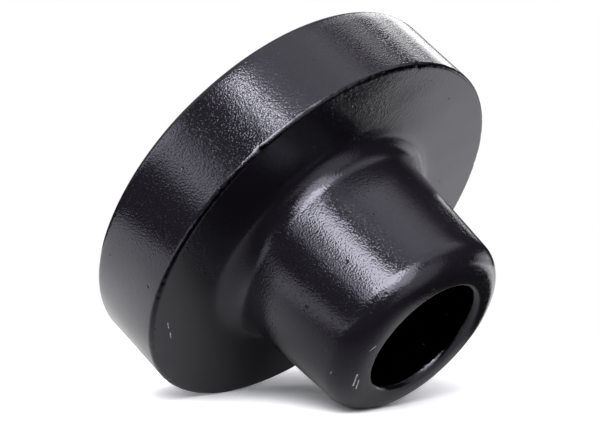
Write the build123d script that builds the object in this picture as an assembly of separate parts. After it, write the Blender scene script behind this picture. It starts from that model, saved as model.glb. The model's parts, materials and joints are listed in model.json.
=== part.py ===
"""Forged neck flange with a black polymer coating.

The forging is one turned-looking body: a thick plain disc, a slightly tapered neck that
grows out of it through a fillet, a rounded nose and a bore from end to end. The coating is
a closed skin of even thickness over every surface of the forging, the bore included.

Frame: +Z runs along the bore from the disc's back face to the nose. The origin is the
centre of the back face. All lengths are in millimetres, and every outside size is the
finished one, measured over the coating.
"""
from build123d import *
import math
import os

# Disc
disc_radius = 50.0
disc_thickness = 21.5
back_edge_round = 1.8
front_edge_round = 1.1

# Neck and nose
neck_length = 37.0
neck_base_radius = 27.0
neck_end_radius = 24.3
neck_fillet = 6.0
nose_round = 6.5
end_land = 1.2

# Bore
bore_radius = 15.1
nose_mouth_round = 1.8
back_mouth_round = 1.8

# Skin
coating_thickness = 0.3

overall_length = disc_thickness + neck_length
neck_taper = (neck_base_radius - neck_end_radius) / neck_length
neck_lean = math.hypot(1.0, neck_taper)


def nose_rounding():
    """Radius of the nose rounding, held back where the end wall has no room for it.

    The rounding turns from the leaning neck wall to the flat end. Along the end it takes
    its radius times the tangent of half that turn, and the end also holds the mouth's
    rounding and a flat ring.
    """
    end_wall = neck_end_radius - bore_radius
    half_turn = (math.pi / 2 - math.atan(neck_taper)) / 2
    room = (end_wall - nose_mouth_round - end_land) / math.tan(half_turn)
    return min(nose_round, room)


def neck_radius(z, depth):
    """Radius of the neck's straight wall at height z, at a depth under the finished one."""
    return neck_base_radius - neck_taper * (z - disc_thickness) - depth * neck_lean


def turned_body(depth):
    """The flange's whole body, with every surface moved inwards by depth.

    Outside corners lose that depth from their rounding, and the neck's hollow fillet
    gains it, so that the two bodies stay the same distance apart everywhere.
    """
    face_z = disc_thickness - depth
    end_z = overall_length - depth
    inner = bore_radius + depth
    outer = disc_radius - depth
    corners = [
        ((inner, depth), back_mouth_round - depth),
        ((outer, depth), back_edge_round - depth),
        ((outer, face_z), front_edge_round - depth),
        ((neck_radius(face_z, depth), face_z), neck_fillet + depth),
        ((neck_radius(end_z, depth), end_z), nose_rounding() - depth),
        ((inner, end_z), nose_mouth_round - depth),
    ]
    points = [point for point, _ in corners]
    radii = [radius for _, radius in corners]
    outline = FilletPolyline(*points, radius=radii, close=True)
    return revolve(Plane.XZ * make_face(outline), axis=Axis.Z)


def steel_forging():
    """The load-bearing body of the flange, forged in one piece and pierced for the bore."""
    return turned_body(coating_thickness)


def black_coating(forging):
    """The skin that seals the forging: the finished body less the forging inside it."""
    return turned_body(0.0) - forging


os.makedirs("parts", exist_ok=True)
forging = steel_forging()
export_step(forging, "parts/steel_forging.step")
export_step(black_coating(forging), "parts/black_coating.step")
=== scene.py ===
import json
import math

import bpy
import numpy as np
from mathutils import Matrix, Vector


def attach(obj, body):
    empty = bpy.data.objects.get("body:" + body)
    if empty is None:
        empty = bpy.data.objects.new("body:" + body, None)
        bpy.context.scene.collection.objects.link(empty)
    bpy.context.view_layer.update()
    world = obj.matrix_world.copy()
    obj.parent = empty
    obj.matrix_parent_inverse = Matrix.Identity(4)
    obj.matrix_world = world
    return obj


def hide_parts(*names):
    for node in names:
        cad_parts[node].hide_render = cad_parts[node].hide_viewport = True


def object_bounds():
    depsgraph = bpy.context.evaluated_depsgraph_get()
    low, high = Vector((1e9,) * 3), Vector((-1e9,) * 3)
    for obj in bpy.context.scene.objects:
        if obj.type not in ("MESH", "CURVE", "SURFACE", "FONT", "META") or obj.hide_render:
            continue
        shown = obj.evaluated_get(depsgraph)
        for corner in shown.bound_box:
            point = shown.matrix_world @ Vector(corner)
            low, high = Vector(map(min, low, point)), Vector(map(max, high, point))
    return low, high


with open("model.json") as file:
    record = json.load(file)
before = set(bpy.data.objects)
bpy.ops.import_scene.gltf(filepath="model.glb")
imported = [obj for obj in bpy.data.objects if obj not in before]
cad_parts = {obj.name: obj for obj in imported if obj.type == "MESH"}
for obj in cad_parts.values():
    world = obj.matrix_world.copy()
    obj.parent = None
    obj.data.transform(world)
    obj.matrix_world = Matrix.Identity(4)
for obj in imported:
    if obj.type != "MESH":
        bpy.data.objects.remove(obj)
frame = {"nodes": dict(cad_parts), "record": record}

cad_low, cad_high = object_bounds()


# ---------------------------------------------------------------- steel forging
# The flange itself: disc, tapered neck and nose hammered from one billet in a closed die
# and pierced for the bore. It is plain carbon steel, shot-blasted clean, and the coating
# seals all of it, so only its dull grey skin is described here.

def linear(hex_colour):
    """sRGB hex to linear RGBA: each channel is undone by the standard sRGB curve."""
    channels = [int(hex_colour[i:i + 2], 16) / 255 for i in (1, 3, 5)]
    return (*(c / 12.92 if c <= 0.04045 else ((c + 0.055) / 1.055) ** 2.4 for c in channels), 1.0)


def add(tree, kind, inputs=None, **settings):
    """Adds one node. settings are its own properties; inputs maps a socket to a value or to a link."""
    node = tree.nodes.new(kind)
    for name, value in settings.items():
        setattr(node, name, value)
    for name, value in (inputs or {}).items():
        if isinstance(value, bpy.types.NodeSocket):
            tree.links.new(value, node.inputs[name])
        else:
            node.inputs[name].default_value = value
    return node


def new_material(name):
    """An empty node material and its tree."""
    material = bpy.data.materials.new(name)
    material.use_nodes = True
    material.node_tree.nodes.clear()
    return material, material.node_tree


def shot_blasted_steel():
    """Carbon steel after blasting: matt grey, with darker blotches where scale held on."""
    material, tree = new_material("shot_blasted_forged_steel")
    place = add(tree, "ShaderNodeTexCoord").outputs["Object"]
    blotches = add(tree, "ShaderNodeTexNoise", {"Vector": place, "Scale": 180.0, "Detail": 5.0})
    dents = add(tree, "ShaderNodeTexNoise", {"Vector": place, "Scale": 2500.0, "Detail": 2.0})
    ramp = add(tree, "ShaderNodeValToRGB", {"Fac": blotches.outputs["Fac"]})
    ramp.color_ramp.elements[0].position = 0.38
    ramp.color_ramp.elements[0].color = linear("#4b4a49")
    ramp.color_ramp.elements[1].position = 0.62
    ramp.color_ramp.elements[1].color = linear("#85827e")
    bump = add(tree, "ShaderNodeBump", {"Height": dents.outputs["Fac"], "Distance": 0.00006,
                                        "Strength": 0.8})
    shader = add(tree, "ShaderNodeBsdfPrincipled", {
        "Base Color": ramp.outputs["Color"], "Metallic": 1.0, "Roughness": 0.55,
        "Normal": bump.outputs["Normal"]})
    add(tree, "ShaderNodeOutputMaterial", {"Surface": shader.outputs["BSDF"]})
    return material


forging = frame["nodes"]["steel_forging"]
forging.data.materials.clear()
forging.data.materials.append(shot_blasted_steel())


# ---------------------------------------------------------------- black coating
# A thick black polymer powder fused over the whole forging, bore included. It flows into a
# semi-gloss skin with an orange-peel grain, thins and chips along the disc's sharp edge,
# and gas from the steel leaves pinholes in it. Painted shade darkens that edge and the bore.

mounts = {m["name"]: m for m in frame["record"]["mounts"]}
rim_radius = cad_high.x
nose_height = cad_high.z
face_height = mounts["clamp_face"]["pos_m"][2]
bore_radius = mounts["through_bore"]["dims"]["r_mm"] / 1000
neck_base_radius = 0.0270
neck_end_radius = 0.0243
back_edge_round = 0.0018
front_edge_round = 0.0011
mouth_round = 0.0018
neck_fillet = 0.0060
nose_round = 0.0065
turns_around = 880
taper = (neck_base_radius - neck_end_radius) / (nose_height - face_height)


def outline():
    """The skin's closed cross-section: stations (radius, height) with their normals.

    It is a polygon with rounded corners. The outward normal (cos a, sin a) turns evenly
    through a corner, whose points are its centre plus radius times the normal, or minus
    it on the hollow fillet. A run is a blend of its ends, with its steps drawn together
    towards the disc's front edge, where the chips are.
    """
    # radius and height of the corner, its rounding, its steps; then the run after it: its
    # steps and how strongly they gather at its start (under 1) or at its end (over 1)
    corners = [
        (bore_radius, 0.0, mouth_round, 7, 8, 1),
        (rim_radius, 0.0, back_edge_round, 8, 14, 2.0),
        (rim_radius, face_height, front_edge_round, 9, 11, 0.5),
        (neck_base_radius, face_height, neck_fillet, 10, 7, 1),
        (neck_end_radius, nose_height, nose_round, 12, 1, 1),
        (bore_radius, nose_height, mouth_round, 8, 9, 1),
    ]
    place = np.array([corner[:2] for corner in corners])
    run = np.roll(place, -1, 0) - place
    ahead = np.arctan2(run[:, 1], run[:, 0])
    behind = np.roll(ahead, 1)
    swing = (ahead - behind + math.pi) % (2 * math.pi) - math.pi
    arcs = []
    for point, start, turning, (*_, rounding, steps, _, _) in zip(place, behind, swing, corners):
        angle = start - math.pi / 2 + turning * np.linspace(0, 1, steps + 1)[:, None]
        normal = np.hstack([np.cos(angle), np.sin(angle)])
        reach = rounding * math.copysign(1, turning)
        centre = point - reach / math.cos(turning / 2) * np.array(
            [math.cos(start - math.pi / 2 + turning / 2), math.sin(start - math.pi / 2 + turning / 2)])
        arcs.append(np.hstack([centre + reach * normal, normal]))
    stations = []
    for arc, following, (*_, steps, gather) in zip(arcs, arcs[1:] + arcs[:1], corners):
        share = np.linspace(0, 1, steps + 2)[1:-1, None]
        share = 1 - (1 - share) ** gather if gather > 1 else share ** (1 / gather)
        stations += [arc, arc[-1] * (1 - share) + following[0] * share]
    return np.vstack(stations)


def casting_waves(points):
    """Slow unevenness of a forged skin: the mean of sines with random heading and phase.

    Wave k has the height sin(2 pi p . h / length + phase), with lengths of 9 to 30 mm.
    """
    dice = np.random.default_rng(5)
    heading = dice.normal(size=(16, 3))
    heading /= np.linalg.norm(heading, axis=1)[:, None]
    length = dice.uniform(0.009, 0.030, 16)
    phase = dice.uniform(0, 2 * math.pi, 16)
    return np.sin(2 * math.pi * (points @ (heading / length[:, None]).T) + phase).mean(-1)


def edge_chips(points, turn):
    """Depth of the chips along the disc's front edge: a sum of round-bottomed dents.

    A dent is depth times exp(-(around / width)^2 - (from edge / width)^2), where around is
    the distance along the edge and from edge is the distance from it.
    """
    # degrees round the disc, then width and depth in mm
    worn_places = [(-45, 0.5, 0.28), (-50, 0.6, 0.25), (-82, 0.5, 0.22), (-94, 0.9, 0.30),
                   (-148, 0.8, 0.32), (-3, 0.8, 0.35), (-66, 1.4, 0.12), (-111, 1.2, 0.14)]
    dice = np.random.default_rng(11)
    count = 70
    small = zip(dice.uniform(-180, 180, count), dice.uniform(0.35, 0.9, count),
                dice.uniform(0.02, 0.12, count))
    from_edge = np.hypot(np.hypot(points[..., 0], points[..., 1]) - rim_radius, points[..., 2] - face_height)
    depth = np.zeros(points.shape[:-1])
    for degrees, width, deep in [*worn_places, *small]:
        around = (turn - math.radians(degrees) + math.pi) % (2 * math.pi) - math.pi
        reach = ((around * rim_radius) ** 2 + from_edge ** 2) / (width / 1000) ** 2
        depth += deep / 1000 * np.exp(-reach)
    return depth


def coating_mesh():
    """The skin's outer surface: the outline turned about Z, closed along and around.

    A point at turn t is (r cos t, r sin t, z), raised along its normal by the slow waves
    and sunk by the chips.
    """
    section = outline()
    turn = np.linspace(0, 2 * math.pi, turns_around, endpoint=False)
    radius, height, out_radial, out_axial = (section[:, i][:, None] for i in range(4))
    points = np.stack([radius * np.cos(turn), radius * np.sin(turn), height + 0 * turn], -1)
    normals = np.stack([out_radial * np.cos(turn), out_radial * np.sin(turn), out_axial + 0 * turn], -1)
    wave_height = 0.00008
    raised = wave_height * casting_waves(points) - edge_chips(points, turn)
    points = points + normals * raised[..., None]
    corner = np.arange(len(section) * turns_around).reshape(len(section), turns_around)
    right = np.roll(corner, -1, 1)
    quads = np.stack([corner, right, np.roll(right, -1, 0), np.roll(corner, -1, 0)], -1).reshape(-1, 4)
    mesh = bpy.data.meshes.new("black_coating_skin")
    mesh.from_pydata(points.reshape(-1, 3), [], quads)
    mesh.shade_smooth()
    return mesh


def near_line(tree, place, start, end, reach):
    """Falls from 1 on the line between two places (mm) to 0 at reach (mm) from it."""
    start, end = Vector(start) / 1000, Vector(end) / 1000
    along = end - start
    offset = add(tree, "ShaderNodeVectorMath", {0: place, 1: start}, operation="SUBTRACT").outputs[0]
    if along.length:
        share = add(tree, "ShaderNodeVectorMath", {0: offset, 1: along / along.length_squared},
                    operation="DOT_PRODUCT").outputs["Value"]
        share = add(tree, "ShaderNodeClamp", {"Value": share}).outputs[0]
        nearest = add(tree, "ShaderNodeVectorMath", {0: along, "Scale": share}, operation="SCALE").outputs[0]
        offset = add(tree, "ShaderNodeVectorMath", {0: offset, 1: nearest}, operation="SUBTRACT").outputs[0]
    distance = add(tree, "ShaderNodeVectorMath", {0: offset}, operation="LENGTH").outputs["Value"]
    return add(tree, "ShaderNodeMapRange", {"Value": distance, "From Max": reach / 1000,
                                            "To Min": 1.0, "To Max": 0.0}).outputs["Result"]


def strongest(tree, values):
    """The greatest of several node values."""
    most = values[0]
    for value in values[1:]:
        most = add(tree, "ShaderNodeMath", {0: most, 1: value}, operation="MAXIMUM").outputs[0]
    return most


def black_powder_coat():
    """Fused black powder: pigment in clear resin, semi-gloss, with an orange-peel grain."""
    material, tree = new_material("black_semi_gloss_powder_coat")
    place = add(tree, "ShaderNodeTexCoord").outputs["Object"]

    # The crests of the grain, in cells of 0.4 mm. Here and there one stands sharp and glints.
    peel = add(tree, "ShaderNodeTexNoise", {"Vector": place, "Scale": 2400.0, "Detail": 1.0})
    sharp = add(tree, "ShaderNodeMapRange", {"Value": peel.outputs["Fac"], "From Min": 0.62,
                                             "From Max": 0.74, "To Max": 0.25})
    skin = add(tree, "ShaderNodeMath", {0: peel.outputs["Fac"], 1: sharp.outputs["Result"]},
               operation="ADD").outputs[0]

    # Pinholes left by gas: a few large ones, and small ones scattered thinly, of which a
    # cell of 5 mm holds one at most, somewhere in its depth.
    cells = add(tree, "ShaderNodeTexVoronoi", {"Vector": place, "Scale": 200.0})
    specks = add(tree, "ShaderNodeMapRange", {"Value": cells.outputs["Distance"], "From Min": 0.03,
                                              "From Max": 0.05, "To Min": 1.0, "To Max": 0.0})
    pinholes = strongest(tree, [specks.outputs["Result"]] + [
        near_line(tree, place, spot, spot, reach) for spot, reach in (
            ((11.2, -48.7, 10.3), 0.40), ((35.2, -35.5, 17.7), 0.45), ((13.6, -21.6, 41.9), 0.5),
            ((-0.9, -24.2, 54.5), 0.5), ((-6.2, -24.5, 44.8), 0.5), ((0.2, -25.5, 42.9), 0.55))])

    # Rubs, as if the flange had knocked against others: broken pale lines 2 to 4 mm long.
    rubs = strongest(tree, [near_line(tree, place, start, end, reach) for start, end, reach in (
        ((16.2, -12.3, 58.1), (18.7, -9.2, 57.9), 0.30), ((16.9, -10.0, 58.3), (18.8, -7.4, 58.2), 0.22),
        ((20.3, -13.7, 54.0), (19.0, -15.7, 54.2), 0.16), ((10.6, -17.1, 58.4), (8.8, -17.0, 58.5), 0.22),
        ((38.6, -23.8, 21.5), (39.4, -21.8, 21.5), 0.18), ((40.1, -19.6, 21.5), (40.9, -17.8, 21.5), 0.22))])
    broken = add(tree, "ShaderNodeTexNoise", {"Vector": place, "Scale": 1100.0, "Detail": 2.0})
    rubbed = add(tree, "ShaderNodeMapRange", {"Value": broken.outputs["Fac"],
                                              "From Min": 0.38, "From Max": 0.46})
    rubbed = add(tree, "ShaderNodeMath", {0: rubs, 1: rubbed.outputs["Result"]}, operation="MULTIPLY")

    # Painted shade along the disc's front edge: a ragged black line, 0.4 to 1.2 mm wide, painted into the
    # colour where the edge's rounding mirrors the dark room.
    split = add(tree, "ShaderNodeSeparateXYZ", {"Vector": place})
    flat = add(tree, "ShaderNodeCombineXYZ", {"X": split.outputs["X"], "Y": split.outputs["Y"]})
    from_axis = add(tree, "ShaderNodeVectorMath", {0: flat.outputs[0]}, operation="LENGTH").outputs["Value"]
    section = add(tree, "ShaderNodeCombineXYZ", {"X": from_axis, "Y": split.outputs["Z"]})
    edge_line = (rim_radius - 0.0005, face_height - 0.0003, 0.0)
    off_edge = add(tree, "ShaderNodeVectorMath", {0: section.outputs[0], 1: edge_line},
                   operation="DISTANCE").outputs["Value"]
    ragged = add(tree, "ShaderNodeTexNoise", {"Vector": place, "Scale": 900.0, "Detail": 2.0})
    edge_reach = add(tree, "ShaderNodeMapRange", {
        "Value": ragged.outputs["Fac"], "From Min": 0.35, "From Max": 0.65,
        "To Min": 0.0002, "To Max": 0.0006}).outputs["Result"]
    off_edge = add(tree, "ShaderNodeMath", {0: off_edge, 1: edge_reach}, operation="DIVIDE").outputs[0]
    painted_edge_shade = add(tree, "ShaderNodeMapRange", {"Value": off_edge, "From Min": 0.8, "From Max": 1.1,
                                                 "To Min": 1.0, "To Max": 0.0}).outputs["Result"]

    # Painted shade in the bore: its wall is darkened to black in the colour, because too much of the
    # studio's light reaches it.
    painted_bore_shade = add(tree, "ShaderNodeMapRange", {"Value": from_axis, "From Min": bore_radius + 0.0015,
                                              "From Max": bore_radius, "To Max": 1.0}).outputs["Result"]
    # Pinholes, and painted shade along the front edge and in the bore, take the resin's colour down to
    # black.
    pinholes_and_painted_shade = strongest(tree, [pinholes, painted_edge_shade, painted_bore_shade])
    resin_and_painted_shade = add(tree, "ShaderNodeMix", {0: pinholes_and_painted_shade, 6: linear("#17151b"), 7: linear("#000000")},
                data_type="RGBA").outputs[2]
    colour = add(tree, "ShaderNodeMix", {0: rubbed.outputs[0], 6: resin_and_painted_shade, 7: linear("#e6e5ec")},
                 data_type="RGBA").outputs[2]
    sunk = add(tree, "ShaderNodeBump", {"Height": pinholes, "Distance": 0.0002, "Strength": 1.0},
               invert=True)
    grain = add(tree, "ShaderNodeBump", {"Height": skin, "Distance": 0.000042, "Strength": 1.0,
                                         "Normal": sunk.outputs["Normal"]})
    gloss = add(tree, "ShaderNodeMapRange", {"Value": pinholes,
                                             "To Min": 0.1, "To Max": 0.7}).outputs["Result"]
    shader = add(tree, "ShaderNodeBsdfPrincipled", {
        "Base Color": colour, "Roughness": gloss, "IOR": 1.6,
        "Specular Tint": linear("#efedff"), "Normal": grain.outputs["Normal"]})
    add(tree, "ShaderNodeOutputMaterial", {"Surface": shader.outputs["BSDF"]})
    return material


coating = bpy.data.objects.new("black_coating_skin", coating_mesh())
bpy.context.scene.collection.objects.link(coating)
coating.data.materials.append(black_powder_coat())
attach(coating, "root")
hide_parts("black_coating")


# ---------------------------------------------------------------- studio
# The flange lies tipped over, on the disc's edge and the nose, so the floor, the lamps and
# the camera are placed in a studio turned to suit: its axes are right, away and up.

def resting_angle():
    """How far the floor's normal leans from the disc's radius when the flange lies down.

    The floor touches two round edges, the disc's and the nose's. Its normal m meets
    m . (disc centre - nose centre) = nose radius - disc radius.
    """
    crown_height = nose_height - nose_round
    crown = neck_base_radius - taper * (crown_height - face_height) - math.hypot(1.0, taper) * nose_round
    across = rim_radius - front_edge_round - crown
    along = crown_height - (face_height - front_edge_round)
    gap = nose_round - front_edge_round
    return math.atan2(across, along) - math.asin(gap / math.hypot(across, along))


# Where round the disc it touches the floor, from X, and how far it is turned on the floor
lean = resting_angle()
touch_turn = math.radians(28.24)
floor_turn = math.radians(38.79)
touch = Vector((math.cos(touch_turn), math.sin(touch_turn), 0.0))
up = -(math.cos(lean) * touch + math.sin(lean) * Vector((0, 0, 1)))
level_axis = (Vector((0, 0, 1)) - up * up.z).normalized()
heading = Matrix.Rotation(floor_turn, 3, up)
right = heading @ level_axis
away = up.cross(right)
studio = Matrix((right, away, up)).transposed()
disc_edge = (rim_radius - front_edge_round) * touch + (face_height - front_edge_round) * Vector((0, 0, 1))
floor_drop = up.dot(disc_edge) - front_edge_round


def soft_step(tree, value, start, end, low=0.0, high=1.0):
    """Runs smoothly from low at start to high at end, and holds beyond them."""
    return add(tree, "ShaderNodeMapRange", {
        "Value": value, "From Min": start, "From Max": end, "To Min": low, "To Max": high},
        interpolation_type="SMOOTHSTEP").outputs["Result"]


def product(tree, *values):
    """The product of several node values."""
    total = values[0]
    for value in values[1:]:
        total = add(tree, "ShaderNodeMath", {0: total, 1: value}, operation="MULTIPLY").outputs[0]
    return total


def stage_sheet():
    """White paper under the flange, seen from above only, with x to the right and y away.

    The coating mirrors grey paper that fades out at its edges, and three patches of it
    that glow: to the left, behind and in front. The camera sees the paper with its shadow,
    which pales to the white of the backdrop away from the flange.
    """
    material, tree = new_material("white_studio_paper")
    place = add(tree, "ShaderNodeNewGeometry")
    rays = add(tree, "ShaderNodeLightPath").outputs["Is Camera Ray"]
    x, y = (add(tree, "ShaderNodeVectorMath", {0: place.outputs["Position"], 1: axis},
                operation="DOT_PRODUCT").outputs["Value"] for axis in (right, away))
    front = add(tree, "ShaderNodeMath", {0: 1.0, 1: place.outputs["Backfacing"]},
                operation="SUBTRACT").outputs[0]
    cover = product(tree, front, soft_step(tree, x, sheet_left, sheet_left + sheet_fade),
                    soft_step(tree, x, sheet_right, sheet_right - sheet_fade),
                    soft_step(tree, y, sheet_front, sheet_front + 0.05),
                    soft_step(tree, y, sheet_back, sheet_back - sheet_fade))
    left_glow = product(tree, soft_step(tree, x, -0.01, -0.05), soft_step(tree, x, -0.32, -0.25),
                        soft_step(tree, y, -0.04, 0.0), soft_step(tree, y, 0.05, 0.11, 0.3, 0.1))
    back_glow = product(tree, soft_step(tree, x, 0.05, 0.08), soft_step(tree, x, 0.30, 0.25),
                        soft_step(tree, y, 0.03, 0.045), soft_step(tree, y, 0.60, 0.55),
                        soft_step(tree, y, 0.10, 0.17, 1.3, 0.85))
    front_glow = product(tree, soft_step(tree, x, -0.05, -0.09), soft_step(tree, x, -0.30, -0.20),
                         soft_step(tree, y, -0.22, -0.16), soft_step(tree, y, -0.03, -0.06, 0.3))
    glow = add(tree, "ShaderNodeMath", {0: left_glow, 1: back_glow}, operation="ADD").outputs[0]
    glow = add(tree, "ShaderNodeMath", {0: glow, 1: front_glow}, operation="ADD").outputs[0]
    paper = add(tree, "ShaderNodeBsdfDiffuse", {"Color": linear("#e6e6ea")})
    grey = add(tree, "ShaderNodeBsdfDiffuse", {"Color": linear("#bcbcbc")})
    clear = add(tree, "ShaderNodeBsdfTransparent")
    laid = add(tree, "ShaderNodeMixShader", {"Fac": cover, 1: clear.outputs[0], 2: grey.outputs[0]})
    light = add(tree, "ShaderNodeEmission", {"Strength": product(tree, front, glow)})
    mirrored = add(tree, "ShaderNodeAddShader", {0: laid.outputs[0], 1: light.outputs[0]})

    # What the camera sees: the paper with its shadow near the flange, and white beyond it.
    # The paper counts twice, because the cards light it too little to look white.
    shadow_left, paper_until, white_from = 0.03, 0.09, 0.18
    out_x = add(tree, "ShaderNodeMath", {0: x, 1: shadow_left}, operation="ADD").outputs[0]
    far = add(tree, "ShaderNodeCombineXYZ", {"X": out_x, "Y": y})
    far = add(tree, "ShaderNodeVectorMath", {0: far.outputs[0]}, operation="LENGTH").outputs["Value"]
    near = add(tree, "ShaderNodeAddShader", {0: paper.outputs[0], 1: paper.outputs[0]})
    beyond = add(tree, "ShaderNodeEmission", {"Strength": 1.0})
    looked_at = add(tree, "ShaderNodeMixShader", {"Fac": soft_step(tree, far, paper_until, white_from),
                                                  1: near.outputs[0], 2: beyond.outputs[0]})
    above = add(tree, "ShaderNodeMixShader", {"Fac": front, 1: clear.outputs[0], 2: looked_at.outputs[0]})
    sheet = add(tree, "ShaderNodeMixShader", {"Fac": rays, 1: mirrored.outputs[0], 2: above.outputs[0]})
    add(tree, "ShaderNodeOutputMaterial", {"Surface": sheet.outputs[0]})
    return material


# The grey paper's reach from the flange, in metres, and the width of its faded edge
sheet_left, sheet_right = -0.32, 0.07
sheet_front, sheet_back = -0.07, 0.60
sheet_fade = 0.02
floor_mesh = bpy.data.meshes.new("floor")
corners = [(-1.0, -0.30), (1.0, -0.30), (1.0, 2.0), (-1.0, 2.0)]
floor_mesh.from_pydata([studio @ Vector((x, y, 0)) + up * floor_drop for x, y in corners],
                       [], [(0, 1, 2, 3)])
floor = bpy.data.objects.new("floor", floor_mesh)
floor.data.materials.append(stage_sheet())
bpy.context.scene.collection.objects.link(floor)

# The air around is a dark room with soft glowing cards. The camera sees it white.
world = bpy.data.worlds.new("studio_air")
bpy.context.scene.world = world
world.use_nodes = True
air = world.node_tree
air.nodes.clear()
aim = add(air, "ShaderNodeTexCoord").outputs["Generated"]
across, ahead, over = (add(air, "ShaderNodeVectorMath", {0: aim, 1: axis},
                           operation="DOT_PRODUCT").outputs["Value"] for axis in (right, away, up))
azimuth = add(air, "ShaderNodeMath", {0: across, 1: ahead}, operation="ARCTAN2").outputs[0]
elevation = add(air, "ShaderNodeMath", {0: over}, operation="ARCSINE").outputs[0]


def soft_card(turned, raised, half_width, half_height, soft, radiance):
    """A glowing card in the air, with its middle turned clockwise from away and raised.

    All but radiance is in degrees. Soft is half the width of its faded edge.
    """
    aside = add(air, "ShaderNodeMath", {0: azimuth, 1: math.radians(turned)},
                operation="SUBTRACT").outputs[0]
    aside = add(air, "ShaderNodeMath", {0: aside, 1: -math.pi, 2: math.pi}, operation="WRAP").outputs[0]
    aside = add(air, "ShaderNodeMath", {0: aside}, operation="ABSOLUTE").outputs[0]
    above = add(air, "ShaderNodeMath", {0: elevation, 1: math.radians(raised)},
                operation="SUBTRACT").outputs[0]
    above = add(air, "ShaderNodeMath", {0: above}, operation="ABSOLUTE").outputs[0]
    across_card = soft_step(air, aside, math.radians(half_width + soft), math.radians(half_width - soft))
    up_card = soft_step(air, above, math.radians(half_height + soft), math.radians(half_height - soft))
    return product(air, across_card, up_card, radiance)


# turned, raised, half width, half height, soft edge, radiance
main_window = [(-167, 37, 23, 12, 3, 11.0), (160, 28, 14, 22, 8, 3.8), (-176, 17, 10, 7, 4, 5.0)]
rim_glints = [(-144, 59, 6, 4, 2.5, 16.0), (-130, 57, 13, 4, 3, 1.6), (-165, 65, 18, 5, 5, 1.6)]
left_strips = [(-103, 24, 18, 9, 4, 2.1), (-142, 23, 8, 5, 4, 3.2)]
right_wall = [(115, 56, 55, 18, 10, 0.85), (132, 5, 22, 24, 10, 0.7)]
back_strips = [(15, 22, 5, 11, 2.5, 3.4), (22, 40, 5, 9, 2.5, 4.2), (32, 57, 9, 8, 4, 1.7)]
back_walls = [(48, -2, 14, 9, 4, 1.0), (-50, 45, 60, 28, 10, 0.35)]
cards = main_window + rim_glints + left_strips + right_wall + back_strips + back_walls
# The room is all but dark, and its ceiling is lit within 10 to 28 degrees of overhead.
room_level, ceiling_level = 0.02, 0.9
light_level = soft_step(air, over, math.cos(math.radians(28)), math.cos(math.radians(10)),
                        room_level, ceiling_level)
for card in cards:
    light_level = add(air, "ShaderNodeMath", {0: light_level, 1: soft_card(*card)},
                      operation="ADD").outputs[0]
rays = add(air, "ShaderNodeLightPath")
dim = add(air, "ShaderNodeBackground", {"Color": (1, 1, 1, 1), "Strength": light_level})
white = add(air, "ShaderNodeBackground", {"Color": (1, 1, 1, 1), "Strength": 1.0})
seen = add(air, "ShaderNodeMixShader", {"Fac": rays.outputs["Is Camera Ray"],
                                        1: dim.outputs[0], 2: white.outputs[0]})
add(air, "ShaderNodeOutputWorld", {"Surface": seen.outputs[0]})

# The camera looks slightly down from half a metre, at a place a little to the left of the
# middle of the disc's face and above it.
middle = Vector((0, 0, face_height))
view_lens = 127.67
view_distance = 0.5
view_height = math.radians(3.16)
view_left, view_above = 0.0055056, 0.0059123
look = studio @ Vector((0, math.cos(view_height), -math.sin(view_height)))
view_up = studio @ Vector((0, math.sin(view_height), math.cos(view_height)))
camera_data = bpy.data.cameras.new("camera")
camera_data.lens = view_lens
camera_data.sensor_width = 36.0
camera = bpy.data.objects.new("camera", camera_data)
bpy.context.scene.collection.objects.link(camera)
spot = middle - view_distance * look - view_left * right + view_above * view_up
camera.matrix_world = Matrix.Translation(spot) @ Matrix((right, view_up, -look)).transposed().to_4x4()
bpy.context.scene.camera = camera
bpy.context.scene.view_settings.view_transform = "Standard"
